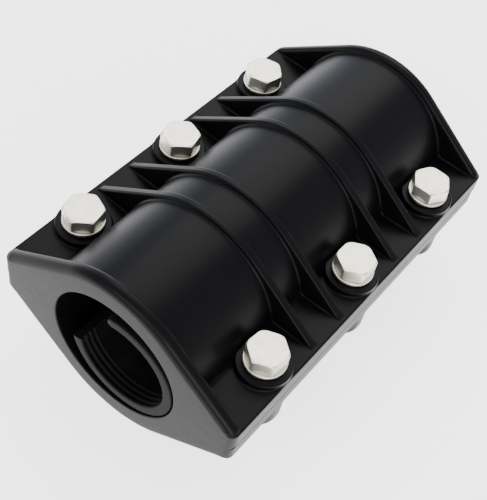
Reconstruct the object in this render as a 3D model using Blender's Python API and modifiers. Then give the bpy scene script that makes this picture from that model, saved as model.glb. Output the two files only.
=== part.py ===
"""Pipe repair clamp: two ribbed half shells, a C-shaped rubber gasket and six captive-nut bolts.

Metres, +Z up. The pipe runs along Y, the two rows of bolts stand at -X and +X, and the halves part
at Z = 0. The origin is on the pipe's axis, at the middle of the clamp.
"""

import math

import bmesh
import bpy
from mathutils import Matrix, Vector

GAP = 0.0003  # running clearance between pieces that touch

# Clamp body
LENGTH = 0.1552
WIDTH = 0.1005
BORE_RADIUS = 0.0260
BARREL_RADIUS = 0.0332
WALL_RADIUS = 0.0355  # crown of the end walls
RIB_RADIUS = 0.0350  # crown of the ribs
WALL_THICKNESS = 0.0050
RIB_THICKNESS = 0.0034
FLANGE_TOP = 0.0078  # height of the upper flange's face above the parting plane
PARTING_GAP = 0.0008  # the halves don't quite close round the gasket
RIB_INSET = 0.0016  # how far the ribs' feet stop short of the flange's edge
DRAFT_STEP = 0.0006  # how far the lower flange sits back from the upper one

# Bolts, three on each side
PITCH = 0.0500
ROW_HALF_WIDTH = 0.0402
RIB_PLACES = (0.0172, 0.0330)  # distance of the ribs from the middle of the clamp
BOSS_RADIUS = 0.0098
BOSS_TOP = 0.0103
NUT_BOSS_BOTTOM = -0.0160
BOLT_HOLE_RADIUS = 0.0046
THREAD_RADIUS = 0.0039
THREAD_LENGTH = 0.0400
HEX_WIDTH = 0.0130
HEAD_HEIGHT = 0.0053
WASHER_RADIUS = 0.0075
WASHER_HOLE_RADIUS = 0.0042
WASHER_THICKNESS = 0.0016
NUT_HEIGHT = 0.0065
NUT_POCKET_DEPTH = 0.0071
HEX_CHAMFER_ANGLE = math.radians(28)

# Gasket, which lies sprung against the lower right of the bore
GASKET_THICKNESS = 0.0044
GASKET_RADIUS = 0.0220
GASKET_LENGTH = 0.1544
GASKET_LEAN = math.radians(-32)  # direction from the bore's axis to the gasket's
GASKET_OPENING = (math.radians(100), math.radians(199))  # where the slit starts and ends

ARC_STEP = math.radians(5)
ROUND_SIDES = 32

COLUMNS = {"left": -1, "right": 1}
PLACES = {"front": -1, "middle": 0, "rear": 1}
CORNER_ANGLE = 30  # direction of a corner, in degrees, on a hexagon that isn't turned
HEAD_TURNS = {  # where a corner of each head points, in degrees: it stopped where its thread went tight
    "front_left": 40, "middle_left": 43, "rear_left": 16,
    "front_right": 24, "middle_right": 29, "rear_right": 61,
}


def clear_scene():
    for obj in list(bpy.data.objects):
        bpy.data.objects.remove(obj, do_unlink=True)


def make_collection(name):
    collection = bpy.data.collections.new(name)
    bpy.context.scene.collection.children.link(collection)
    return collection


def make_material(name, colour, roughness, metallic):
    material = bpy.data.materials.new(name)
    material.use_nodes = True
    shader = material.node_tree.nodes["Principled BSDF"]
    shader.inputs["Base Color"].default_value = (*colour, 1)
    shader.inputs["Roughness"].default_value = roughness
    shader.inputs["Metallic"].default_value = metallic
    return material


def make_object(name, bm, collection, material=None, smooth_angle=None):
    bmesh.ops.recalc_face_normals(bm, faces=bm.faces)
    mesh = bpy.data.meshes.new(name)
    bm.to_mesh(mesh)
    bm.free()
    if material:
        mesh.materials.append(material)
    if smooth_angle:
        mesh.shade_smooth()
        mesh.set_sharp_from_angle(angle=smooth_angle)
    obj = bpy.data.objects.new(name, mesh)
    collection.objects.link(obj)
    return obj


def hide_cutter(obj):
    obj.hide_render = True
    obj.display_type = "WIRE"
    return obj


def add_boolean(obj, other, operation):
    modifier = obj.modifiers.new(f"{operation.lower()} {other.name}", "BOOLEAN")
    modifier.operation = operation
    modifier.object = other
    modifier.solver = "EXACT"


def arc_points(centre, radius, start, end, step=ARC_STEP):
    """Points (x, z) along an arc, both ends included."""
    count = max(1, math.ceil(abs(end - start) / step))
    angles = [start + (end - start) * i / count for i in range(count + 1)]
    return [(centre[0] + radius * math.cos(a), centre[1] + radius * math.sin(a)) for a in angles]


def lens_outline(radius, half_width, foot_height):
    """Half of the clamp's end view: an arc over the pipe that runs straight down to two feet."""
    reach = math.hypot(half_width, foot_height)
    tangent = math.atan2(foot_height, half_width) + math.acos(radius / reach)
    arc = arc_points((0, 0), radius, tangent, math.pi - tangent)
    return [(half_width, 0), (half_width, foot_height), *arc, (-half_width, foot_height),
            (-half_width, 0)]


def standing_slab(name, outline, front, back, collection):
    """An outline in X and Z, drawn along Y from front to back, as a closed mesh."""
    bm = bmesh.new()
    face = bm.faces.new([bm.verts.new((x, front, z)) for x, z in outline])
    made = bmesh.ops.extrude_face_region(bm, geom=[face])
    moved = [item for item in made["geom"] if isinstance(item, bmesh.types.BMVert)]
    bmesh.ops.translate(bm, vec=(0, back - front, 0), verts=moved)
    return make_object(name, bm, collection)


def upright_cylinder(name, x, y, bottom, top, radius, collection, sides=ROUND_SIDES, turn=0.0):
    bm = bmesh.new()
    place = Matrix.Translation((x, y, (bottom + top) / 2)) @ Matrix.Rotation(turn, 4, "Z")
    bmesh.ops.create_cone(
        bm, cap_ends=True, segments=sides, radius1=radius, radius2=radius,
        depth=top - bottom, matrix=place,
    )
    return make_object(name, bm, collection)


def bolt_places():
    """(name, x, y) of each bolt."""
    return [
        (f"{place}_{side}", column * ROW_HALF_WIDTH, row * PITCH)
        for side, column in COLUMNS.items()
        for place, row in PLACES.items()
    ]


def mirrored_down(obj):
    """Turns an upper shape into the matching lower one."""
    bm = bmesh.new()
    bm.from_mesh(obj.data)
    bmesh.ops.scale(bm, vec=(1, 1, -1), verts=bm.verts)
    bmesh.ops.recalc_face_normals(bm, faces=bm.faces)
    bm.to_mesh(obj.data)
    bm.free()
    return obj


def shell_solids(half, half_width, cutters):
    """The overlapping solids that one half shell is moulded from, drawn as the upper half."""
    end = LENGTH / 2
    barrel = arc_points((0, 0), BARREL_RADIUS, 0, math.pi)
    flange = [(half_width, 0), (half_width, FLANGE_TOP), (-half_width, FLANGE_TOP), (-half_width, 0)]
    wall = lens_outline(WALL_RADIUS, half_width, FLANGE_TOP)
    rib = lens_outline(RIB_RADIUS, half_width - RIB_INSET, FLANGE_TOP)
    solids = [
        standing_slab(f"{half}_barrel", barrel, -end + WALL_THICKNESS / 2,
                      end - WALL_THICKNESS / 2, cutters),
        standing_slab(f"{half}_flange", flange, -end + WALL_THICKNESS / 2,
                      end - WALL_THICKNESS / 2, cutters),
        standing_slab(f"{half}_front_wall", wall, -end, -end + WALL_THICKNESS, cutters),
        standing_slab(f"{half}_rear_wall", wall, end - WALL_THICKNESS, end, cutters),
    ]
    for number, place in enumerate(sorted([-p for p in RIB_PLACES] + list(RIB_PLACES)), 1):
        front = place - RIB_THICKNESS / 2
        solids.append(standing_slab(f"{half}_rib_{number}", rib, front, front + RIB_THICKNESS,
                                    cutters))
    return solids


def make_shell(half, collection, cutters, material):
    upper = half == "upper"
    half_width = WIDTH / 2 if upper else WIDTH / 2 - DRAFT_STEP
    solids = shell_solids(half, half_width, cutters)
    if not upper:
        solids = [mirrored_down(solid) for solid in solids]
    boss_end = BOSS_TOP if upper else NUT_BOSS_BOTTOM
    for name, x, y in bolt_places():
        low, high = sorted((0, boss_end))
        solids.append(upright_cylinder(f"{half}_boss_{name}", x, y, low, high, BOSS_RADIUS, cutters))

    bm = bmesh.new()
    side = 1 if upper else -1
    block = Matrix.Translation((0, 0, side * PARTING_GAP / 2)) @ Matrix.Diagonal(
        (2 * WIDTH, 2 * LENGTH, 0.002, 1))
    bmesh.ops.create_cube(bm, size=1, matrix=block)
    bmesh.ops.translate(bm, vec=(0, 0, -side * 0.001), verts=bm.verts)
    parting = make_object(f"{half}_parting_cut", bm, cutters)
    bm = bmesh.new()
    lying = Matrix.Rotation(math.pi / 2, 4, "X")
    bmesh.ops.create_cone(bm, cap_ends=True, segments=72, radius1=BORE_RADIUS,
                          radius2=BORE_RADIUS, depth=2 * LENGTH, matrix=lying)
    bore = make_object(f"{half}_bore_cut", bm, cutters)
    cuts = [parting, bore]
    for name, x, y in bolt_places():
        cuts.append(upright_cylinder(f"{half}_hole_{name}", x, y, -0.05, 0.05, BOLT_HOLE_RADIUS,
                                     cutters, sides=24))
        if not upper:
            corner = (HEX_WIDTH / 2 + GAP) / math.cos(math.pi / 6)
            cuts.append(upright_cylinder(
                f"{half}_nut_pocket_{name}", x, y, NUT_BOSS_BOTTOM - 0.001,
                NUT_BOSS_BOTTOM + NUT_POCKET_DEPTH, corner, cutters, sides=6))

    shell = make_object(f"{half}_shell", bmesh.new(), collection, material)
    shell.data = solids[0].data.copy()
    shell.data.materials.append(material)
    for solid in solids[1:]:
        add_boolean(shell, hide_cutter(solid), "UNION")
    for cut in cuts:
        add_boolean(shell, hide_cutter(cut), "DIFFERENCE")
    bpy.data.objects.remove(solids[0], do_unlink=True)
    return shell


def make_gasket(collection, material):
    """A thick rubber sheet rolled into a C, with a rounded lip at one end of the roll."""
    lean = BORE_RADIUS - GASKET_RADIUS - GAP
    centre = (lean * math.cos(GASKET_LEAN), lean * math.sin(GASKET_LEAN))
    start, end = GASKET_OPENING[1] - 2 * math.pi, GASKET_OPENING[0]
    inner_radius = GASKET_RADIUS - GASKET_THICKNESS
    outer = arc_points(centre, GASKET_RADIUS, start, end)
    inner = arc_points(centre, inner_radius, end, start)
    middle = inner_radius + GASKET_THICKNESS / 2
    tip = (centre[0] + middle * math.cos(end), centre[1] + middle * math.sin(end))
    lip = arc_points(tip, GASKET_THICKNESS / 2, end, end + math.pi, math.radians(30))[1:-1]
    gasket = standing_slab("gasket", [*outer, *lip, *inner], -GASKET_LENGTH / 2,
                           GASKET_LENGTH / 2, collection)
    gasket.data.materials.append(material)
    gasket.data.shade_smooth()
    gasket.data.set_sharp_from_angle(angle=math.radians(40))
    return gasket


def hex_prism(bm, bottom, top, turn):
    """A hexagonal prism, added to bm. Returns its vertices."""
    corner = HEX_WIDTH / 2 / math.cos(math.pi / 6)
    place = Matrix.Translation((0, 0, (bottom + top) / 2)) @ Matrix.Rotation(turn, 4, "Z")
    made = bmesh.ops.create_cone(bm, cap_ends=True, segments=6, radius1=corner, radius2=corner,
                                 depth=top - bottom, matrix=place)
    return made["verts"]


def chamfer_cone(name, tip_height, flat_height, cutters, downward=False):
    """A cone that takes a hexagon's corners down to a round face at flat_height."""
    face_radius = 0.95 * HEX_WIDTH / 2
    depth = abs(tip_height - flat_height)
    wide = face_radius + depth / math.tan(HEX_CHAMFER_ANGLE)
    bm = bmesh.new()
    low, high = sorted((tip_height, flat_height))
    radii = (face_radius, wide) if downward else (wide, face_radius)
    bmesh.ops.create_cone(bm, cap_ends=True, segments=36, radius1=radii[0], radius2=radii[1],
                          depth=high - low, matrix=Matrix.Translation((0, 0, (low + high) / 2)))
    return hide_cutter(make_object(name, bm, cutters))


def make_bolts(collection, cutters, material):
    """Hexagon head bolts whose origin is on their axis, under the head."""
    seat = BOSS_TOP + GAP + WASHER_THICKNESS + GAP
    keep = chamfer_cone("head_chamfer", -0.003, HEAD_HEIGHT, cutters)
    for name, x, y in bolt_places():
        bm = bmesh.new()
        hex_prism(bm, 0, HEAD_HEIGHT, math.radians(HEAD_TURNS[name] - CORNER_ANGLE))
        bolt = make_object(f"bolt_{name}", bm, collection, material)
        shank = upright_cylinder(f"shank_{name}", 0, 0, -THREAD_LENGTH, 0.001, THREAD_RADIUS,
                                 cutters, sides=24)
        place = Vector((x, y, seat))
        bolt.location = place
        shank.location = place
        head = hide_cutter(keep.copy())
        head.name = f"head_chamfer_{name}"
        head.location = place
        cutters.objects.link(head)
        add_boolean(bolt, head, "INTERSECT")
        add_boolean(bolt, hide_cutter(shank), "UNION")
    bpy.data.objects.remove(keep, do_unlink=True)


def ring_mesh(name, outer, inner, thickness):
    """A flat ring standing on Z = 0, turned from its section."""
    mesh = bpy.data.meshes.new(name)
    section = [(outer, 0, thickness), (outer, 0, 0), (inner, 0, 0), (inner, 0, thickness)]
    mesh.from_pydata(section, [(0, 1), (1, 2), (2, 3), (3, 0)], [])
    return mesh


def make_washers(collection, material):
    mesh = ring_mesh("washer", WASHER_RADIUS, WASHER_HOLE_RADIUS, WASHER_THICKNESS)
    mesh.materials.append(material)
    for name, x, y in bolt_places():
        washer = bpy.data.objects.new(f"washer_{name}", mesh)
        washer.location = (x, y, BOSS_TOP + GAP)
        collection.objects.link(washer)
        screw = washer.modifiers.new("turned", "SCREW")
        screw.steps = screw.render_steps = ROUND_SIDES
        screw.use_merge_vertices = True
        screw.merge_threshold = 0.00001


def make_nuts(collection, cutters, material):
    top = NUT_BOSS_BOTTOM + NUT_POCKET_DEPTH - GAP
    for name, x, y in bolt_places():
        bm = bmesh.new()
        hex_prism(bm, -NUT_HEIGHT, 0, 0.0)
        nut = make_object(f"nut_{name}", bm, collection, material)
        nut.location = (x, y, top)
        hole = upright_cylinder(f"nut_hole_{name}", 0, 0, -2 * NUT_HEIGHT, NUT_HEIGHT,
                                THREAD_RADIUS + GAP, cutters, sides=24)
        hole.location = nut.location
        add_boolean(nut, hide_cutter(hole), "DIFFERENCE")


def main():
    clear_scene()
    clamp = make_collection("pipe_repair_clamp")
    cutters = make_collection("cutters")
    plastic = make_material("black plastic", (0.012, 0.012, 0.014), 0.42, 0.0)
    lower_plastic = make_material("black plastic, lower half", (0.012, 0.012, 0.014), 0.45, 0.0)
    rubber = make_material("black rubber", (0.02, 0.02, 0.021), 0.75, 0.0)
    zinc = make_material("zinc-plated bolt", (0.78, 0.77, 0.73), 0.32, 1.0)
    washer_zinc = make_material("zinc-plated washer", (0.75, 0.74, 0.71), 0.28, 1.0)
    nut_zinc = make_material("zinc-plated nut", (0.72, 0.71, 0.68), 0.36, 1.0)
    make_shell("upper", clamp, cutters, plastic)
    make_shell("lower", clamp, cutters, lower_plastic)
    make_gasket(clamp, rubber)
    make_bolts(clamp, cutters, zinc)
    make_washers(clamp, washer_zinc)
    make_nuts(clamp, cutters, nut_zinc)


main()
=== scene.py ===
"""Pipe repair clamp: two ribbed black plastic half shells round a rubber gasket, held by six M8 bolts.

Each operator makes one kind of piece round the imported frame. All sizes are in metres.
"""

import math

import bmesh
import bpy
import numpy as np
from bpy.props import FloatProperty, FloatVectorProperty, IntProperty, PointerProperty
from mathutils import Matrix, Vector


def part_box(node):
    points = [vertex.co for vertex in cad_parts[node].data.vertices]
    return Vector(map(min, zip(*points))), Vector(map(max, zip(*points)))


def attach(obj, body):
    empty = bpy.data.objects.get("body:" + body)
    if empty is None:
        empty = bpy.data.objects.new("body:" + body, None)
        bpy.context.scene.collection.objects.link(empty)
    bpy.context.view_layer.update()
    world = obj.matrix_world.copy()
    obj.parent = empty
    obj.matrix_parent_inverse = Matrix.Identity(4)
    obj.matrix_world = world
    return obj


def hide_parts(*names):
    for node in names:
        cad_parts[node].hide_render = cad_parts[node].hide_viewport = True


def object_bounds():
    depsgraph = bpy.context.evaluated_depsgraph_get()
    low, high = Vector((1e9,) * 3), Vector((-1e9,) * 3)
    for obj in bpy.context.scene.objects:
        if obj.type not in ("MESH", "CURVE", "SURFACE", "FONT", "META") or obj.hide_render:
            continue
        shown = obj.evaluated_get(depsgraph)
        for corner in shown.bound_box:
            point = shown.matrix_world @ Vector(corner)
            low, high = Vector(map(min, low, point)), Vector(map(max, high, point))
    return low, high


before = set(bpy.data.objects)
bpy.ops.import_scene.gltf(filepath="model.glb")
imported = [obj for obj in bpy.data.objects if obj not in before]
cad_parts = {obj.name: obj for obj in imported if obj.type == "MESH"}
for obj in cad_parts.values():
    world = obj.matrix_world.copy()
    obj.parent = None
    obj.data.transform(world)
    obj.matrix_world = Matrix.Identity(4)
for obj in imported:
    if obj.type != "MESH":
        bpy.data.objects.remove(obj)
CAD_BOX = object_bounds()

bl_info = {
    "name": "Pipe repair clamp",
    "version": (1, 0, 0),
    "blender": (4, 5, 0),
    "location": "3D View > Sidebar > Clamp",
    "description": "Builds a two-half bolted pipe repair clamp with its gasket and fasteners",
    "category": "Object",
}

MM = 0.001
ROWS = ("front", "middle", "rear")
SIDES = ("left", "right")
PLACES = [f"{row}_{side}" for row in ROWS for side in SIDES]
HALF_LENGTH = CAD_BOX[1][1]
HALF_WIDTH = CAD_BOX[1][0]
FLOOR_LEVEL = CAD_BOX[0][2]
GASKET_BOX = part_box("gasket")
LOWER_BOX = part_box("lower_shell")
BOLT_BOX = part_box("bolt_front_left")
WASHER_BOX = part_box("washer_front_left")
NUT_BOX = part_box("nut_front_left")
GROOVE_DEPTH = 0.9 * MM  # of the parting groove along a long side
GROOVE_RUN_OUT = 9 * MM  # over which the groove rises to nothing at each end
GROOVE_HEIGHTS = {"upper_shell": 0.24 * MM, "lower_shell": 1.15 * MM}
RIB_TIP = 0.5 * MM
DRAFT = math.radians(1.6)  # lean of a rib's or a wall's flank
SPARE = 1.5 * MM  # how far a boss reaches into the flange that it is joined to
THROUGH = 30 * MM  # height that clears every boss
SEARCH_FROM, SEARCH_TO = 0.030, 0.056  # nearest and furthest reach of an outline, in metres
QUARTER_TURN = np.radians(np.linspace(0, 90, 6))
CORNER_ANGLE = 30  # direction of a corner, in degrees, on a hexagon that isn't turned
HEAD_TURNS = {  # where a corner of each head points, in degrees
    "front_left": 40,
    "middle_left": 43,
    "rear_left": 16,
    "front_right": 24,
    "middle_right": 29,
    "rear_right": 61,
}


def length(name, description, default):
    return FloatProperty(name=name, description=description, default=default, min=0.0, unit="LENGTH")


def colour(name, description, default):
    return FloatVectorProperty(
        name=name, description=description, default=default, size=3, min=0.0, max=1.0, subtype="COLOR"
    )


class ClampShellSizes(bpy.types.PropertyGroup):
    """Sizes of the two half shells."""

    bore: length("Bore radius", "Inside radius of the closed shells", 26.0 * MM)
    rim: length("Rim rounding", "Rounding where the bore meets the end face", 0.5 * MM)
    barrel: length("Barrel radius", "Outside radius between the ribs", 33.2 * MM)
    wall: length("Wall radius", "Crown radius of the end walls", 35.45 * MM)
    rib: length("Rib radius", "Crown radius of the ribs", 35.0 * MM)
    wall_thickness: length("Wall thickness", "Thickness of an end wall", 5.0 * MM)
    wall_rounding: length("Wall rounding", "Rounding of a wall's outer edge", 2.9 * MM)
    rib_top: length("Rib top", "Half thickness of a rib at its crest", 1.55 * MM)
    rib_inset: length("Rib inset", "How far a rib's tip stays inside the flange edge", 1.6 * MM)
    rib_inner: length("Inner rib place", "Distance of the inner ribs from the middle", 17.2 * MM)
    rib_outer: length("Outer rib place", "Distance of the outer ribs from the middle", 33.0 * MM)
    crest_rounding: length("Crest rounding", "Rounding of a rib's crest", 0.8 * MM)
    root_fillet: length("Root fillet", "Fillet where a rib stands on the barrel", 0.9 * MM)
    flange: length("Flange top", "Height of the flange above the parting plane", 7.8 * MM)
    flange_fillet: length("Flange fillet", "Fillet between barrel and flange", 1.8 * MM)
    edge: length("Flange edge", "Rounding of the flange's long edges", 0.7 * MM)
    tip: length("Wall tip", "Rounding where a wall comes down to the flange edge", 1.6 * MM)
    parting: length("Parting gap", "Half the gap between the two halves", 0.02 * MM)
    boss: length("Boss radius", "Radius of a bolt boss", 9.8 * MM)
    boss_top: length("Boss height", "Top of a bolt boss above the parting plane", 10.3 * MM)
    nut_boss: length("Nut boss depth", "Bottom of a nut boss below the parting plane", 16.0 * MM)
    hole: length("Bolt hole", "Radius of a bolt hole", 4.6 * MM)
    pocket: length("Nut pocket", "Depth of the hexagon pocket", 7.1 * MM)


class ClampFastenerSizes(bpy.types.PropertyGroup):
    """Sizes of the bolts, washers and nuts."""

    flats: length("Across flats", "Width of the hexagons", 13.0 * MM)
    head: length("Head height", "Height of a bolt head", 5.3 * MM)
    chamfer_radius: length("Chamfer circle", "Radius of the flat inside the hexagon's chamfer", 6.75 * MM)
    shank: length("Thread radius", "Outside radius of the thread", 3.9 * MM)
    root: length("Thread root", "Radius at the bottom of the thread", 3.28 * MM)
    pitch: length("Pitch", "Rise of the thread in one turn", 1.25 * MM)
    thread: length("Thread length", "Length of the threaded part", 26.0 * MM)
    washer_hole: length("Washer hole", "Radius of a washer's hole", 4.2 * MM)
    segments: IntProperty(name="Segments", description="Points round a hexagon", default=96, min=24)


class ClampGasketSizes(bpy.types.PropertyGroup):
    """Sizes of the rubber gasket."""

    radius: length("Outer radius", "Outside radius of the gasket", 22.0 * MM)
    inner: length("Inner radius", "Radius on the crests of the sealing lips", 18.2 * MM)
    offset: length("Offset", "Distance of the gasket's axis from the bore's axis", 3.7 * MM)
    lean: FloatProperty(
        name="Lean", description="Direction in which the gasket is offset", default=math.radians(-32),
        subtype="ANGLE",
    )
    opening_start: FloatProperty(
        name="Opening start", description="Where the rounded end stands", default=math.radians(103),
        subtype="ANGLE",
    )
    opening_end: FloatProperty(
        name="Opening end", description="Where the square end stands", default=math.radians(193.5),
        subtype="ANGLE",
    )
    lip_pitch: length("Lip pitch", "Distance between two sealing lips", 2.1 * MM)
    lip_depth: length("Lip depth", "Depth between two sealing lips", 0.35 * MM)
    lip_count: IntProperty(name="Lips", description="Sealing lips at each end", default=3, min=1)


class ClampFinishes(bpy.types.PropertyGroup):
    """Colours of the clamp."""

    plastic: colour("Plastic", "Moulded black plastic", (0.0020, 0.0020, 0.0025))
    plastic_worn: colour("Scuffed plastic", "Where the plastic is scuffed or matt", (0.004, 0.004, 0.0043))
    # End faces: a matt finish, and a paler colour that is painted light where they face the light.
    matt_end_painted_lit: colour("End face", "Matt end faces", (0.006, 0.006, 0.0064))
    rubber: colour("Rubber", "Gasket rubber", (0.0012, 0.0012, 0.0013))
    rubber_bloom: colour("Rubber bloom", "Pale bloom on the rubber", (0.004, 0.004, 0.004))
    zinc: colour("Zinc", "Zinc plating", (0.88, 0.845, 0.73))
    zinc_warm: colour("Passivated zinc", "Warmer patches in the plating", (0.82, 0.785, 0.685))
    floor: colour("Floor", "Studio floor", (0.90, 0.90, 0.895))


class ClampView(bpy.types.PropertyGroup):
    """Camera view."""

    azimuth: FloatProperty(name="Azimuth", description="Turn of the view", default=math.radians(26.47),
                           subtype="ANGLE")
    elevation: FloatProperty(name="Elevation", description="Height of the view",
                             default=math.radians(51.53), subtype="ANGLE")
    roll: FloatProperty(name="Roll", description="Lean of the view", default=math.radians(14.56),
                        subtype="ANGLE")
    place: FloatVectorProperty(name="Place", description="Where the camera stands",
                               default=(0.10962, -0.20483, 0.28315), size=3, subtype="TRANSLATION",
                               unit="LENGTH")
    lens: FloatProperty(name="Lens", description="Focal length in millimetres", default=71.34, min=1.0)
    shift_x: FloatProperty(name="Shift X", description="Sideways shift", default=-0.0591)
    shift_y: FloatProperty(name="Shift Y", description="Upward shift", default=-0.0117)


# ---------------------------------------------------------------------------------------------
# Shader expressions
# ---------------------------------------------------------------------------------------------


class Field:
    """A shader socket that can stand in a Python expression."""

    def __init__(self, finish, socket):
        self.finish = finish
        self.socket = socket

    def maths(self, operation, *values):
        return self.finish.node("ShaderNodeMath", {"operation": operation}, dict(enumerate(values)))

    def __add__(self, other):
        return self.maths("ADD", self, other)

    def __sub__(self, other):
        return self.maths("SUBTRACT", self, other)

    def __rsub__(self, other):
        return self.maths("SUBTRACT", other, self)

    def __mul__(self, other):
        return self.maths("MULTIPLY", self, other)

    __radd__ = __add__
    __rmul__ = __mul__

    def step(self, low, high):
        """0 below low, 1 above high and smooth between."""
        return self.finish.node(
            "ShaderNodeMapRange",
            {"interpolation_type": "SMOOTHSTEP"},
            {"Value": self, "From Min": low, "From Max": high},
        )

    def size(self):
        return self.maths("ABSOLUTE", self)


class Finish:
    """One material, whose node tree is written as expressions."""

    def __init__(self, name, **constants):
        self.material = bpy.data.materials.new(name)
        self.material.use_nodes = True
        self.tree = self.material.node_tree
        self.shader = self.tree.nodes["Principled BSDF"]
        for socket, value in constants.items():
            self.shader.inputs[socket.replace("_", " ")].default_value = value

    def node(self, kind, settings, inputs, output=0):
        """A new node's output: its settings are set first, then the values or links of its sockets."""
        made = self.tree.nodes.new(kind)
        for name, value in settings.items():
            setattr(made, name, value)
        for name, value in inputs.items():
            if isinstance(value, Field):
                self.tree.links.new(value.socket, made.inputs[name])
            else:
                made.inputs[name].default_value = value
        return Field(self, made.outputs[output])

    def place(self):
        return self.node("ShaderNodeTexCoord", {}, {}, "Object")

    def noise(self, place, scale, detail=3.0, rough=0.5):
        inputs = {"Vector": place, "Scale": scale, "Detail": detail, "Roughness": rough}
        return self.node("ShaderNodeTexNoise", {}, inputs, "Fac")

    def stretched(self, place, x, y, z):
        return self.node("ShaderNodeVectorMath", {"operation": "MULTIPLY"}, {0: place, 1: (x, y, z)})

    def part(self, vector, axis):
        return self.node("ShaderNodeSeparateXYZ", {}, {"Vector": vector}, axis)

    def mixed(self, factor, first, second):
        """first where factor is 0 and second where it is 1, as colours."""
        ends = [value if isinstance(value, Field) else (*value, 1.0) for value in (first, second)]
        made = self.tree.nodes.new("ShaderNodeMix")
        made.data_type = "RGBA"
        sockets = [s for s in made.inputs if s.enabled]
        for socket, value in zip(sockets, [factor, *ends]):
            if isinstance(value, Field):
                self.tree.links.new(value.socket, socket)
            else:
                socket.default_value = value
        return Field(self, [s for s in made.outputs if s.enabled][0])

    def bump(self, height, strength, distance, under=None):
        inputs = {"Height": height, "Strength": strength, "Distance": distance}
        if under:
            inputs["Normal"] = under
        return self.node("ShaderNodeBump", {}, inputs, "Normal")

    def give(self, socket, field):
        self.tree.links.new(field.socket, self.shader.inputs[socket])


def black_plastic(colours):
    """Satin moulded plastic: fine spark grain, slow flow marks, scuffs and matt end faces, whose paler
    colour is partly painted light on the faces that face the light.
    """
    finish = Finish("plastic_finish", Specular_IOR_Level=0.09)
    place = finish.place()
    normal = finish.node("ShaderNodeNewGeometry", {}, {}, "Normal")
    # Mask of the end faces: it makes them matt and grainy, and paints them paler as painted light.
    facing_end = finish.part(normal, "Y").size().step(0.75, 0.97)
    at_end = finish.part(place, "Y").size().step(HALF_LENGTH - 1.2 * MM, HALF_LENGTH - 0.3 * MM)
    matt_end_painted_lit = facing_end * at_end
    grain = finish.noise(place, 2600.0, 2.0, 0.6)
    coarse = finish.noise(place, 700.0, 3.0, 0.55)
    flow = finish.noise(finish.stretched(place, 40.0, 14.0, 40.0), 1.0, 3.0, 0.5)
    handled = finish.noise(place, 130.0, 5.0, 0.65)
    scuffs = finish.noise(finish.stretched(place, 90.0, 900.0, 300.0), 1.0, 4.0, 0.7).step(0.60, 0.74)
    scuffs = scuffs * handled.step(0.48, 0.66)
    body = finish.mixed(scuffs * 0.55 + flow * 0.25, colours.plastic, colours.plastic_worn)
    speckle = coarse.step(0.35, 0.7) * 0.35 + grain * 0.3
    # End-face colour: painted paler as painted light, with a speckled matt grain.
    ends = finish.mixed(speckle, colours.matt_end_painted_lit, tuple(0.62 * c for c in colours.matt_end_painted_lit))
    finish.give("Base Color", finish.mixed(matt_end_painted_lit, body, ends))
    satin = 0.28 + 0.08 * handled + 0.08 * flow + 0.14 * scuffs
    finish.give("Roughness", satin + matt_end_painted_lit * (0.34 + 0.12 * coarse - satin))
    waves = finish.bump(flow, 0.35, 0.25 * MM)
    fine = finish.bump(coarse * 0.6 + grain * (0.4 + 2.6 * matt_end_painted_lit), 0.24, 0.035 * MM, waves)
    finish.give("Normal", fine)
    return finish.material


def black_rubber(colours):
    """Matt rubber with a slight bloom and a pitted skin."""
    finish = Finish("rubber_finish", Specular_IOR_Level=0.12)
    place = finish.place()
    pits = finish.noise(place, 1900.0, 3.0, 0.6)
    patches = finish.noise(place, 160.0, 4.0, 0.6)
    bloom = patches.step(0.42, 0.72) * 0.7 + pits * 0.25
    finish.give("Base Color", finish.mixed(bloom, colours.rubber, colours.rubber_bloom))
    finish.give("Roughness", 0.58 + 0.18 * patches)
    finish.give("Normal", finish.bump(pits, 0.3, 0.05 * MM))
    return finish.material


def zinc_plate(colours):
    """Bright zinc plating: warm patches, fine rolling marks and dull spots."""
    finish = Finish("zinc_finish", Metallic=1.0)
    place = finish.place()
    cloud = finish.noise(place, 260.0, 4.0, 0.6)
    lines = finish.noise(finish.stretched(place, 5200.0, 480.0, 900.0), 1.0, 3.0, 0.6)
    crystals = finish.noise(place, 2400.0, 3.0, 0.65)
    finish.give("Base Color", finish.mixed(cloud.step(0.35, 0.68), colours.zinc, colours.zinc_warm))
    finish.give("Roughness", 0.30 + 0.16 * cloud + 0.08 * lines)
    finish.give("Normal", finish.bump(lines * 0.5 + crystals * 0.5, 0.16, 0.03 * MM))
    return finish.material


def floor_paint(colours):
    """Plain pale studio floor."""
    finish = Finish("studio_floor", Roughness=0.7, Specular_IOR_Level=0.2, Emission_Strength=2.6)
    tone = finish.noise(finish.place(), 3.0, 2.0, 0.5)
    paint = finish.mixed(tone * 0.2, colours.floor, tuple(0.97 * c for c in colours.floor))
    finish.give("Base Color", paint)
    finish.give("Emission Color", paint)
    return finish.material


def finish_named(name, maker):
    """The material of that name, made once."""
    return bpy.data.materials.get(name) or maker(bpy.context.scene.clamp_finishes)


# ---------------------------------------------------------------------------------------------
# Mesh tools
# ---------------------------------------------------------------------------------------------


def grid_faces(rows, columns, wrap_rows=False, wrap_columns=False):
    """Quads of a grid whose point (row, column) has index row * columns + column."""
    row = np.arange(rows if wrap_rows else rows - 1)[:, None]
    column = np.arange(columns if wrap_columns else columns - 1)[None, :]
    next_row, next_column = (row + 1) % rows, (column + 1) % columns
    corners = [row * columns + column, row * columns + next_column]
    corners += [next_row * columns + next_column, next_row * columns + column]
    return np.stack([c + 0 * (row + column) for c in corners], axis=-1).reshape(-1, 4).tolist()


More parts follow.
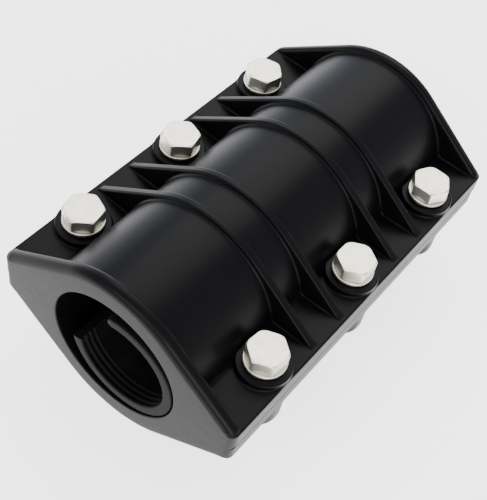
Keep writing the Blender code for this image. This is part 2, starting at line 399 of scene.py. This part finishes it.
def zipped(points, first, second):
    """Triangles between two chains of points that both run along +Y."""
    faces = []
    i = j = 0
    while i < len(first) - 1 or j < len(second) - 1:
        ahead = j == len(second) - 1
        if not ahead and i < len(first) - 1:
            ahead = points[first[i + 1]][1] <= points[second[j + 1]][1]
        if ahead:
            faces.append([first[i], first[i + 1], second[j]])
            i += 1
        else:
            faces.append([first[i], second[j + 1], second[j]])
            j += 1
    return faces


def joined(*parts):
    """Several (points, faces) as one."""
    points, faces = [], []
    for part_points, part_faces in parts:
        start = len(points)
        points += [tuple(p) for p in part_points]
        faces += [[start + i for i in face] for face in part_faces]
    return points, faces


def turned_back(part):
    """The same part with its faces turned round."""
    points, faces = part
    return points, [face[::-1] for face in faces]


def full_turn(segments):
    """Evenly spaced angles of a full turn."""
    return np.arange(segments) * 2 * math.pi / segments


def ring_at(radius, z, angle):
    """A level ring of points, whose radius and height may change round it."""
    return np.stack([radius * np.cos(angle), radius * np.sin(angle), z + 0 * angle], -1)


def turned(profile, segments, centre=(0.0, 0.0), radius_at=None):
    """A solid of revolution about +Z from (radius, height) pairs, first and last on the axis."""
    angle = full_turn(segments)
    shape = np.ones(segments) if radius_at is None else radius_at(angle)
    inner = np.array(profile[1:-1])
    x = centre[0] + inner[:, :1] * shape * np.cos(angle)
    y = centre[1] + inner[:, :1] * shape * np.sin(angle)
    z = inner[:, 1:] + 0 * x
    points = np.stack([x, y, z], axis=-1).reshape(-1, 3).tolist()
    faces = grid_faces(len(inner), segments, wrap_columns=True)
    for end, ring in ((profile[0], 0), (profile[-1], len(inner) - 1)):
        points.append((centre[0], centre[1], end[1]))
        for k in range(segments):
            pair = [ring * segments + k, ring * segments + (k + 1) % segments]
            faces.append([*(pair if ring else pair[::-1]), len(points) - 1])
    return points, faces


def closed_rings(rings):
    """A ring-shaped solid: the last ring joins the first."""
    faces = grid_faces(len(rings), len(rings[0]), wrap_rows=True, wrap_columns=True)
    return turned_back((np.concatenate(rings).tolist(), faces))


def arc(centre, radius, start, end, steps):
    """Points of an arc in a profile, by angles in degrees."""
    angle = np.radians(np.linspace(start, end, steps + 1))
    return [(centre[0] + radius * math.cos(a), centre[1] + radius * math.sin(a)) for a in angle]


def mesh_object(name, part):
    """A new object of that name from (points, faces), with doubled points merged."""
    mesh = bpy.data.meshes.new(name)
    points, faces = part
    mesh.from_pydata([tuple(p) for p in points], [], faces)
    build = bmesh.new()
    build.from_mesh(mesh)
    bmesh.ops.remove_doubles(build, verts=build.verts, dist=0.004 * MM)
    build.to_mesh(mesh)
    build.free()
    piece = bpy.data.objects.new(name, mesh)
    bpy.context.scene.collection.objects.link(piece)
    return piece


def cut_or_join(piece, tool_part, operation):
    """Applies a Boolean with a closed part to the piece's own mesh."""
    tool = mesh_object("boolean_tool", tool_part)
    change = piece.modifiers.new("boolean", "BOOLEAN")
    change.solver = "MANIFOLD"
    change.operation = operation
    change.object = tool
    graph = bpy.context.evaluated_depsgraph_get()
    mesh = bpy.data.meshes.new_from_object(piece.evaluated_get(graph))
    if len(mesh.vertices) == len(piece.data.vertices):
        raise RuntimeError(f"{operation} changed nothing on {piece.name}")
    piece.modifiers.clear()
    piece.data = mesh
    bpy.data.objects.remove(tool)


def finished(piece, material, body, node, sharp=32):
    """Shades the piece, gives it its finish and ties it to the frame."""
    piece.data.materials.clear()
    piece.data.materials.append(material)
    piece.data.shade_smooth()
    piece.data.set_sharp_from_angle(angle=math.radians(sharp))
    weighted = piece.modifiers.new("flat faces stay flat", "WEIGHTED_NORMAL")
    weighted.keep_sharp = True
    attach(piece, body)
    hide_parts(node)


def hexagon(corner):
    """Radius of a hexagon with flats at radius 1, by angle, its corners eased by that share."""

    def radius_at(angle):
        off = (angle + math.pi / 6) % (math.pi / 3) - math.pi / 6
        sharp = 1 / np.cos(off)
        most = 1 / math.cos(math.pi / 6) - corner
        return most - np.log1p(np.exp((most - sharp) * 90)) / 90

    return radius_at


# ---------------------------------------------------------------------------------------------
# Half shells
# ---------------------------------------------------------------------------------------------


def round_union(a, b, radius):
    """Two distances joined with a fillet."""
    corner = np.hypot(np.maximum(radius - a, 0), np.maximum(radius - b, 0))
    return np.maximum(radius, np.minimum(a, b)) - corner


def round_overlap(a, b, radius):
    """What two distances share, with its edge rounded."""
    corner = np.hypot(np.maximum(radius + a, 0), np.maximum(radius + b, 0))
    return np.minimum(-radius, np.maximum(a, b)) + corner


class Outline:
    """A cross-section seen from the bore's axis: its reach at each column's angle, and how squarely
    its surface faces the axis there."""

    def __init__(self, distance, angles, at_least=None):
        self.reach = self.solve(distance, angles)
        if at_least is not None:
            self.reach = np.maximum(self.reach, at_least.reach)
        nudge = 1e-4
        change = self.solve(distance, angles + nudge) - self.solve(distance, angles - nudge)
        self.facing = 1 / np.sqrt(1 + (change / (2 * nudge) / self.reach) ** 2)

    @staticmethod
    def solve(distance, angles):
        low, high = np.full(angles.shape, SEARCH_FROM), np.full(angles.shape, SEARCH_TO)
        for _ in range(40):
            middle = (low + high) / 2
            inside = distance(middle * np.cos(angles), middle * np.sin(angles)) < 0
            low, high = np.where(inside, middle, low), np.where(inside, high, middle)
        return (low + high) / 2


class HalfShell:
    """Rows of points over one half shell, from its front end to its rear end."""

    def __init__(self, sizes, half_width, groove_height):
        self.sizes = sizes
        self.half_width = half_width
        self.groove_height = groove_height
        self.angles = self.column_angles()
        self.base = Outline(self.base_distance, self.angles)
        self.wall = self.lens_outline(sizes.wall, 0.0, sizes.tip)
        self.rib = self.lens_outline(sizes.rib, sizes.rib_inset, RIB_TIP)

    def column_angles(self):
        """Angles of the columns, closer together where the section turns."""
        s = self.sizes
        side = np.linspace(s.parting + self.groove_height + 0.12 * MM, s.flange - s.edge, 5)
        across = np.linspace(self.half_width - s.edge, s.barrel + s.flange_fillet, 15)
        low = [math.atan2(z, self.half_width) for z in side]
        low += [
            math.atan2(s.flange - s.edge * (1 - math.sin(a)), self.half_width - s.edge * (1 - math.cos(a)))
            for a in QUARTER_TURN[1:-1]
        ]
        low += [math.atan2(s.flange, x) for x in across]
        fillet_end = math.atan2(s.flange + s.flange_fillet, s.barrel)
        low += list(np.linspace(low[-1], fillet_end, 7)[1:-1])
        low += list(np.linspace(fillet_end, math.pi / 2, 54))
        low = np.array(low)
        return np.concatenate([low, math.pi - low[-2::-1]])

    def base_distance(self, x, z):
        s = self.sizes
        flange = round_overlap(np.abs(x) - self.half_width, z - s.flange, s.edge)
        return round_union(np.hypot(x, z) - s.barrel, flange, s.flange_fillet)

    def lens_outline(self, radius, inset, tip):
        return Outline(lambda x, z: self.lens_distance(x, z, radius, inset, tip), self.angles, self.base)

    def lens_distance(self, x, z, radius, inset, tip):
        """An arc over the crown and straight tangents down to the flange's edges."""
        half, top = self.half_width - inset, self.sizes.flange
        touch = math.atan2(top, half) + math.acos(radius / math.hypot(half, top))
        straight = np.abs(x) * math.cos(touch) + z * math.sin(touch) - radius
        crown = np.hypot(x, z) - radius
        lens = np.where(np.arctan2(z, np.abs(x)) > touch, crown, straight)
        return round_overlap(lens, np.abs(x) - half, tip)

    def row(self, y, reach):
        """One row: the columns' points, then the grooves that run down to the parting plane."""
        s = self.sizes
        points = np.stack([reach * np.cos(self.angles), y + 0 * reach, reach * np.sin(self.angles)], -1)
        ends = []
        for first, sign in ((points[0], 1), (points[-1], -1)):
            groove = GROOVE_DEPTH * min(1, (HALF_LENGTH - abs(first[1])) / GROOVE_RUN_OUT)
            ends.append([
                (first[0] - sign * groove, first[1], s.parting),
                (first[0] - sign * groove, first[1], s.parting + self.groove_height),
            ])
        return np.concatenate([np.array(ends[0]), points, np.array(ends[1][::-1])])

    def flank(self, crest, crest_rounding, root_fillet):
        """(offset outward from the crest's edge, reach) from the base up to the crest, per column."""
        s = self.sizes
        rise = np.maximum(crest.reach - self.base.reach, 0)
        room = root_fillet / self.base.facing + crest_rounding / crest.facing
        squeeze = np.minimum(1, 0.9 * rise / room)
        spread = math.tan(DRAFT) * rise * self.base.facing
        low = self.base.reach + squeeze * root_fillet / self.base.facing
        high = crest.reach - squeeze * crest_rounding / crest.facing
        rows = []
        for turn in QUARTER_TURN:
            out = spread + root_fillet * (1 - math.sin(turn))
            rows.append((out, self.base.reach + (low - self.base.reach) * (1 - math.cos(turn))))
        for share in (0.3, 0.7):
            rows.append((spread * (1 - share), low + (high - low) * share))
        for turn in QUARTER_TURN:
            out = -crest_rounding * (1 - math.cos(turn))
            rows.append((out, high + (crest.reach - high) * math.sin(turn)))
        return rows

    def front_rows(self):
        """Rows from the front end face's outline to the middle of the clamp."""
        s = self.sizes
        end, rounding = -HALF_LENGTH, s.wall_rounding
        rows = []
        for turn in np.radians(np.linspace(0, 90, 9)):
            inward = rounding * (1 - math.sin(turn)) / self.wall.facing
            rows.append(self.row(end + rounding * (1 - math.cos(turn)), self.wall.reach - inward))
        inner_face = end + s.wall_thickness
        for out, reach in self.flank(self.wall, 1.8 * s.crest_rounding, s.root_fillet)[::-1]:
            rows.append(self.row(inner_face + out, reach))
        half = s.rib_top
        clear = s.root_fillet + 0.8 * MM
        start = inner_face + clear
        for centre in (-s.rib_outer, -s.rib_inner):
            stop = centre - half - clear
            count = max(2, int((stop - start) / (2.6 * MM)))
            for y in np.linspace(start, stop, count + 1):
                rows.append(self.row(y, self.base.reach))
            rise = self.flank(self.rib, s.crest_rounding, s.root_fillet)
            rows += [self.row(centre - half - out, reach) for out, reach in rise]
            rows += [self.row(centre + half + out, reach) for out, reach in rise[::-1]]
            start = centre + half + clear
        rows += [self.row(y, self.base.reach) for y in np.linspace(start, 0, 6)[:-1]]
        return rows

    def bore_row(self, y, radius):
        s = self.sizes
        angles = np.concatenate([[0, 0], self.angles, [math.pi, math.pi]])
        low = math.asin(s.parting / radius)
        eased = 12  # columns next to the parting plane that are spaced evenly
        angles[:eased] = np.linspace(low, angles[eased], eased + 1)[:eased]
        angles[-eased:] = math.pi - angles[:eased][::-1]
        return np.stack([radius * np.cos(angles), y + 0 * angles, radius * np.sin(angles)], -1)

    def part(self):
        """The closed half shell, upper side up."""
        s = self.sizes
        front = self.front_rows()
        outer = front + [self.row(0.0, self.base.reach)] + [r * (1, -1, 1) for r in front[::-1]]
        bore = []
        for turn in QUARTER_TURN:
            radius = s.bore + s.rim * (1 - math.sin(turn))
            bore.append(self.bore_row(-HALF_LENGTH + s.rim * (1 - math.cos(turn)), radius))
        bore += [self.bore_row(y, s.bore) for y in np.linspace(-HALF_LENGTH + 6 * MM, 0, 14)]
        bore += [r * (1, -1, 1) for r in bore[-2::-1]]
        face = [front[0] + (bore[0] - front[0]) * share for share in (0.34, 0.67)]
        rows = outer + [r * (1, -1, 1) for r in face] + bore[::-1] + face[::-1]
        columns = len(rows[0])
        faces = grid_faces(len(rows), columns, wrap_rows=True)
        points = np.concatenate(rows)
        outside, inside = range(len(outer)), range(len(rows) - 1, len(outer) - 1, -1)
        for column, order in ((0, 1), (columns - 1, -1)):
            chains = [[row * columns + column for row in chain] for chain in (outside, inside)]
            faces += [face[::order] for face in zipped(points, *chains)]
        return turned_back((points.tolist(), faces))


def bolt_axes():
    """(place, x, y) of each bolt."""
    axes = []
    for place in PLACES:
        low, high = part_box(f"washer_{place}")
        axes.append((place, (low[0] + high[0]) / 2, (low[1] + high[1]) / 2))
    return axes


def boss_part(sizes, top, x, y, half_width):
    """A round boss with an eased top edge and a fillet on the flange."""
    ease, fillet = 0.45 * MM, 0.85 * MM
    profile = [(0.0, top), (sizes.boss - ease - 1.5 * MM, top)]
    foot = sizes.flange - SPARE
    profile += arc((sizes.boss - ease, top - ease), ease, 90, 0, 5)
    profile += arc((sizes.boss + fillet, sizes.flange + fillet), fillet, 180, 270, 6)
    profile += [(sizes.boss + fillet, foot), (0.0, foot)]
    points, faces = turned(profile, 96, (x, y))
    limit = half_width - 0.12 * MM
    points = [(max(-limit, min(limit, p[0])), p[1], p[2]) for p in points]
    return turned_back((points, faces))


def hole_part(radius, low, x, y, shape=None):
    """A cutter from low up, round or of a given shape."""
    profile = [(0.0, low), (radius, low), (radius, THROUGH), (0.0, THROUGH)]
    return turned(profile, 96 if shape else 64, (x, y), shape)


class CLAMP_OT_shells(bpy.types.Operator):
    """Make the two ribbed half shells with their bosses, bolt holes and nut pockets"""

    bl_idname = "clamp.shells"
    bl_label = "Half shells"
    bl_options = {"REGISTER", "UNDO"}

    def execute(self, context):
        sizes = context.scene.clamp_shell
        material = finish_named("plastic_finish", black_plastic)
        axes = bolt_axes()
        holes = joined(*(hole_part(sizes.hole, -5 * MM, x, y) for _, x, y in axes))
        for name, body, half_width, top in (
            ("upper_shell", "upper_half", HALF_WIDTH, sizes.boss_top),
            ("lower_shell", "lower_half", LOWER_BOX[1][0], sizes.nut_boss),
        ):
            shell = HalfShell(sizes, half_width, GROOVE_HEIGHTS[name]).part()
            bosses = joined(*(boss_part(sizes, top, x, y, half_width) for _, x, y in axes))
            piece = mesh_object(f"{name}_moulding", shell)
            cut_or_join(piece, bosses, "UNION")
            cut_or_join(piece, holes, "DIFFERENCE")
            if name == "lower_shell":
                width = context.scene.clamp_fasteners.flats / 2 + 0.3 * MM
                low = sizes.nut_boss - sizes.pocket
                shape = hexagon(0.01)
                pockets = joined(*(hole_part(width, low, x, y, shape) for _, x, y in axes))
                cut_or_join(piece, pockets, "DIFFERENCE")
                piece.data.transform(Matrix.Scale(-1, 4, Vector((0, 0, 1))))
                piece.data.flip_normals()
            finished(piece, material, body, name)
        return {"FINISHED"}


# ---------------------------------------------------------------------------------------------
# Gasket
# ---------------------------------------------------------------------------------------------


def lip_stations(sizes, half_length):
    """(y, inner radius, outer radius) along the gasket, with rows of sealing lips at both ends."""
    ease = 0.5 * MM
    crest, trough = sizes.inner, sizes.inner + sizes.lip_depth
    half = [(-half_length, crest + ease, sizes.radius - ease)]
    half += [(-half_length + 0.3 * ease, crest + 0.3 * ease, sizes.radius - 0.3 * ease)]
    y = -half_length + ease
    half.append((y, crest, sizes.radius))
    for _ in range(sizes.lip_count):
        for share, depth in ((0.22, 0.0), (0.38, 0.75), (0.55, 1.0), (0.72, 0.9), (0.9, 0.15), (1.0, 0.0)):
            half.append((y + share * sizes.lip_pitch, crest + depth * (trough - crest), sizes.radius))
        y += sizes.lip_pitch
    half.append((y + 0.6 * MM, crest + 0.35 * (trough - crest), sizes.radius))
    start = y + 1.2 * MM
    half += [(v, crest + 0.5 * (trough - crest), sizes.radius) for v in np.linspace(start, 0, 12)]
    return half + [(-y, inner, outer) for y, inner, outer in half[-2::-1]]


class CLAMP_OT_gasket(bpy.types.Operator):
    """Make the C-shaped rubber gasket with its sealing lips"""

    bl_idname = "clamp.gasket"
    bl_label = "Gasket"
    bl_options = {"REGISTER", "UNDO"}

    def execute(self, context):
        sizes = context.scene.clamp_gasket
        half_length = GASKET_BOX[1][1]
        stations = lip_stations(sizes, half_length)
        middle = (sizes.inner + sizes.radius) / 2
        tip = math.asin((sizes.radius - sizes.inner) / 2 / middle)
        start = sizes.opening_end - 2 * math.pi
        turns = [(a, 1.0) for a in np.linspace(start, sizes.opening_start, 120)]
        turns += [
            (sizes.opening_start + tip * math.sin(t), math.cos(t))
            for t in np.radians(np.linspace(0, 82, 8)[1:])
        ]
        turns[0] = (turns[0][0], 0.9)
        turns.insert(1, (start + 0.012, 1.0))
        centre = (sizes.offset * math.cos(sizes.lean), sizes.offset * math.sin(sizes.lean))
        rings = []
        for angle, share in turns:
            ring = []
            order = [(y, inner) for y, inner, _ in stations]
            order += [(y, outer) for y, _, outer in stations[::-1]]
            for y, radius in order:
                r = middle + (radius - middle) * share
                ring.append((centre[0] + r * math.cos(angle), y, centre[1] + r * math.sin(angle)))
            rings.append(ring)
        columns = len(rings[0])
        faces = grid_faces(len(rings), columns, wrap_columns=True)
        for ring, order in ((0, 1), (len(rings) - 1, -1)):
            for k in range(len(stations) - 1):
                pair = [k, k + 1, columns - 2 - k, columns - 1 - k]
                faces.append([ring * columns + i for i in pair][::order])
        points = [p for ring in rings for p in ring]
        piece = mesh_object("gasket_rubber", (points, faces))
        material = finish_named("rubber_finish", black_rubber)
        finished(piece, material, "lower_half", "gasket", 50)
        return {"FINISHED"}


# ---------------------------------------------------------------------------------------------
# Bolts, washers and nuts
# ---------------------------------------------------------------------------------------------


def hexagon_solid(flats, height, chamfer_radius, segments, low_chamfer, bore=None, dish=0.0):
    """A hexagon block from z = 0 up, chamfered on a circle, with a hole or a slightly dished top."""
    angle = full_turn(segments)
    half = flats / 2
    outline = half * hexagon(0.018)(angle)
    slope = math.tan(math.radians(28))
    drop = np.maximum(outline - chamfer_radius, 0) * slope
    ease = 0.14 * MM
    rings = []

    def ring(radius, z):
        rings.append(ring_at(radius, z, angle))

    def chamfered(z, way):
        """Rings from the flat of an end face out to the side, going away from z by way."""
        inner = np.minimum(chamfer_radius, outline - 1.2 * ease)
        ring(inner - 1.5 * ease, z)
        ring(inner - 0.4 * ease, z - way * 0.03 * ease)
        ring(np.minimum(inner + 0.4 * ease, outline - 0.8 * ease), z - way * 0.22 * ease)
        ring(outline - 0.45 * ease, z - way * (drop + 0.32 * ease))
        ring(outline - 0.12 * ease, z - way * (drop + 0.65 * ease))
        ring(outline, z - way * (drop + 1.3 * ease))

    if bore:
        ring(bore + 0.5 * MM, height)
        ring(bore + 0.65 * MM, height)
    else:
        for share in (0.18, 0.45, 0.75):
            ring(chamfer_radius * share, height - dish * (1 - share) ** 2)
    chamfered(height, 1)
    if low_chamfer:
        start = len(rings)
        chamfered(0.0, -1)
        rings[start:] = rings[start:][::-1]
    else:
        ring(outline, 0.5 * ease)
        ring(outline - 0.3 * ease, 0.0)
    if bore:
        ring(bore + 0.65 * MM, 0.0)
        ring(bore + 0.5 * MM, 0.0)
        ring(bore, 0.45 * MM)
        ring(bore, height / 2)
        ring(bore, height - 0.45 * MM)
        return closed_rings(rings)
    points = np.concatenate(rings).tolist()
    faces = grid_faces(len(rings), segments, wrap_columns=True)
    for z, first, order in ((height - dish, 0, -1), (0.0, (len(rings) - 1) * segments, 1)):
        points.append((0.0, 0.0, z))
        for k in range(segments):
            faces.append([first + k, first + (k + 1) % segments, len(points) - 1][::order])
    return turned_back((points, faces))


def thread_part(sizes, low, high):
    """A real helical thread from low to high, its start chamfered and both ends closed."""
    profile = [sizes.root, sizes.root, sizes.shank, sizes.shank]
    share_of_pitch = [0.0, 0.18, 0.44, 0.74]
    tip_radius = sizes.root - 0.5 * MM
    around, steps = 36, len(profile)
    turns = int((high - low) / sizes.pitch) - 1
    points = []
    total = turns * steps
    for k in range(total + steps):
        for m in range(around):
            whole, index = divmod(k, steps)
            z = low + sizes.pitch * (whole + share_of_pitch[index] + m / around)
            tip = tip_radius + (z - low) * 0.9
            radius = min(profile[index], max(tip, tip_radius))
            angle = 2 * math.pi * m / around
            points.append((radius * math.cos(angle), radius * math.sin(angle), z))

    def at(k, m):
        return (k + steps) * around if m == around else k * around + m

    faces = []
    for k in range(total - 1):
        for m in range(around):
            faces.append([at(k, m), at(k, m + 1), at(k + 1, m + 1), at(k + 1, m)])
    bottom = [at(0, m) for m in range(around)] + [at(k, 0) for k in range(steps, 0, -1)]
    last = total - 1
    top = [at(last, m) for m in range(around)] + [at(last + k, 0) for k in range(steps, 0, -1)]
    points.append((0.0, 0.0, low))
    foot = len(points) - 1
    faces += [[foot, bottom[(i + 1) % len(bottom)], bottom[i]] for i in range(len(bottom))]
    points.append((0.0, 0.0, points[at(last, 0)][2] + sizes.pitch / 2))
    crown = len(points) - 1
    faces += [[crown, top[i], top[(i + 1) % len(top)]] for i in range(len(top))]
    used = sorted({i for face in faces for i in face})
    new = {old: i for i, old in enumerate(used)}
    return [points[i] for i in used], [[new[i] for i in face] for face in faces]


class CLAMP_OT_bolts(bpy.types.Operator):
    """Make the six hexagon bolts with real helical threads"""

    bl_idname = "clamp.bolts"
    bl_label = "Bolts"
    bl_options = {"REGISTER", "UNDO"}

    def execute(self, context):
        sizes = context.scene.clamp_fasteners
        material = finish_named("zinc_finish", zinc_plate)
        tip, top = BOLT_BOX[0][2], BOLT_BOX[1][2]
        seat = top - sizes.head
        head = hexagon_solid(sizes.flats, sizes.head, sizes.chamfer_radius, sizes.segments, False,
                             dish=0.12 * MM)
        neck_low = tip + sizes.thread - seat
        neck = [(0.0, 1.0 * MM), (sizes.shank, 1.0 * MM), (sizes.shank, neck_low + 0.5 * MM)]
        neck += [(sizes.root, neck_low - 0.2 * MM), (0.0, neck_low - 0.2 * MM)]
        thread = thread_part(sizes, tip - seat, neck_low + 2.0 * MM)
        parts = joined(head, turned_back(turned(neck, 48)), thread)
        for place, x, y in bolt_axes():
            piece = mesh_object(f"bolt_{place}_m8", parts)
            piece.location = (x, y, seat)
            piece.rotation_euler = (0, 0, math.radians(HEAD_TURNS[place] - CORNER_ANGLE))
            finished(piece, material, f"bolt_{place}_body", f"bolt_{place}", 24)
        return {"FINISHED"}


class CLAMP_OT_washers(bpy.types.Operator):
    """Make the six washers with punched, eased edges"""

    bl_idname = "clamp.washers"
    bl_label = "Washers"
    bl_options = {"REGISTER", "UNDO"}

    def execute(self, context):
        sizes = context.scene.clamp_fasteners
        material = finish_named("zinc_finish", zinc_plate)
        low, high = WASHER_BOX
        thickness = high[2] - low[2]
        outer = (high[0] - low[0]) / 2
        inner, ease, low_ease = sizes.washer_hole, 0.28 * MM, 0.8 * MM
        profile = arc((outer - ease, thickness - ease), ease, 90, 0, 5)
        profile += arc((outer - low_ease, low_ease), low_ease, 0, -90, 6)
        profile += arc((inner + ease, ease), ease, 270, 180, 4)
        profile += arc((inner + ease, thickness - ease), ease, 180, 90, 4)
        angle = full_turn(sizes.segments)
        part = closed_rings([ring_at(radius, z, angle) for radius, z in profile])
        for place, x, y in bolt_axes():
            piece = mesh_object(f"washer_{place}_m8", part)
            piece.location = (x, y, low[2])
            finished(piece, material, f"washer_{place}_body", f"washer_{place}", 40)
        return {"FINISHED"}


class CLAMP_OT_nuts(bpy.types.Operator):
    """Make the six hexagon nuts that sit in the lower half's pockets"""

    bl_idname = "clamp.nuts"
    bl_label = "Nuts"
    bl_options = {"REGISTER", "UNDO"}

    def execute(self, context):
        sizes = context.scene.clamp_fasteners
        material = finish_named("zinc_finish", zinc_plate)
        low, high = NUT_BOX
        part = hexagon_solid(sizes.flats, high[2] - low[2], sizes.chamfer_radius, sizes.segments, True,
                             bore=sizes.washer_hole)
        for place, x, y in bolt_axes():
            piece = mesh_object(f"nut_{place}_m8", part)
            piece.location = (x, y, low[2])
            finished(piece, material, "lower_half", f"nut_{place}", 24)
        return {"FINISHED"}


# ---------------------------------------------------------------------------------------------
# Stage
# ---------------------------------------------------------------------------------------------


def soft_light(name, place, width, depth, power, tint=(1.0, 1.0, 1.0)):
    """A rectangular light, in watts, aimed at the middle of the clamp."""
    data = bpy.data.lights.new(name, "AREA")
    data.shape = "RECTANGLE"
    data.size, data.size_y = width, depth
    data.energy = power
    data.color = tint
    lamp = bpy.data.objects.new(name, data)
    lamp.location = place
    lamp.rotation_euler = (-Vector(place)).to_track_quat("-Z", "Y").to_euler()
    bpy.context.scene.collection.objects.link(lamp)


class CLAMP_OT_stage(bpy.types.Operator):
    """Set up the camera, the pale floor and soft studio light"""

    bl_idname = "clamp.stage"
    bl_label = "Stage"
    bl_options = {"REGISTER", "UNDO"}

    def execute(self, context):
        view = context.scene.clamp_view
        data = bpy.data.cameras.new("view_camera")
        data.lens = view.lens
        data.clip_start = 0.01
        data.shift_x, data.shift_y = view.shift_x, view.shift_y
        camera = bpy.data.objects.new("view_camera", data)
        context.scene.collection.objects.link(camera)
        az, el, roll = view.azimuth, view.elevation, view.roll
        back = Vector((math.sin(az) * math.cos(el), -math.cos(az) * math.cos(el), math.sin(el)))
        right = (-back).cross(Vector((0, 0, 1))).normalized()
        up = right.cross(-back)
        across = right * math.cos(roll) + up * math.sin(roll)
        upward = up * math.cos(roll) - right * math.sin(roll)
        axes = Matrix((across, upward, back)).transposed()
        camera.matrix_world = Matrix.Translation(view.place) @ axes.to_4x4()
        context.scene.camera = camera

        reach = 3.0
        level = FLOOR_LEVEL - 0.05 * MM
        corners = [(-reach, -reach, level), (reach, -reach, level), (reach, reach, level),
                   (-reach, reach, level)]
        floor = mesh_object("studio_floor", (corners, [[0, 1, 2, 3]]))
        floor.data.materials.append(finish_named("studio_floor", floor_paint))

        world = bpy.data.worlds.new("studio_air")
        world.use_nodes = True
        air = world.node_tree.nodes["Background"]
        air.inputs["Color"].default_value = (0.95, 0.97, 1.0, 1.0)
        air.inputs["Strength"].default_value = 1.0
        context.scene.world = world
        soft_light("key_softbox", (-0.34, 0.67, 0.94), 1.0, 1.0, 11.0)
        soft_light("left_strip", (-0.9, 0.65, 0.22), 0.9, 0.5, 2.6, (0.70, 0.75, 1.0))
        soft_light("front_fill", (-0.10, -0.95, 0.70), 1.0, 0.3, 6.0, (0.88, 0.91, 1.0))
        soft_light("right_strip", (0.75, -0.66, 0.40), 0.35, 0.22, 5.0)
        return {"FINISHED"}


class CLAMP_PT_panel(bpy.types.Panel):
    """Lists the clamp's pieces"""

    bl_idname = "CLAMP_PT_panel"
    bl_label = "Pipe repair clamp"
    bl_space_type = "VIEW_3D"
    bl_region_type = "UI"
    bl_category = "Clamp"

    def draw(self, context):
        for operator in OPERATORS:
            self.layout.operator(operator.bl_idname)
        for group in GROUPS:
            box = self.layout.box()
            settings = getattr(context.scene, group)
            for name in GROUPS[group].__annotations__:
                box.prop(settings, name)


GROUPS = {
    "clamp_shell": ClampShellSizes,
    "clamp_fasteners": ClampFastenerSizes,
    "clamp_gasket": ClampGasketSizes,
    "clamp_finishes": ClampFinishes,
    "clamp_view": ClampView,
}
OPERATORS = (
    CLAMP_OT_stage,
    CLAMP_OT_shells,
    CLAMP_OT_gasket,
    CLAMP_OT_bolts,
    CLAMP_OT_washers,
    CLAMP_OT_nuts,
)


def register():
    for cls in (*GROUPS.values(), *OPERATORS, CLAMP_PT_panel):
        bpy.utils.register_class(cls)
    for name, cls in GROUPS.items():
        setattr(bpy.types.Scene, name, PointerProperty(type=cls))


def unregister():
    for name in GROUPS:
        delattr(bpy.types.Scene, name)
    for cls in reversed((*GROUPS.values(), *OPERATORS, CLAMP_PT_panel)):
        bpy.utils.unregister_class(cls)


def main():
    register()
    for make in (bpy.ops.clamp.stage, bpy.ops.clamp.shells, bpy.ops.clamp.gasket, bpy.ops.clamp.bolts,
                 bpy.ops.clamp.washers, bpy.ops.clamp.nuts):
        make()


if __name__ == "__main__":
    main()
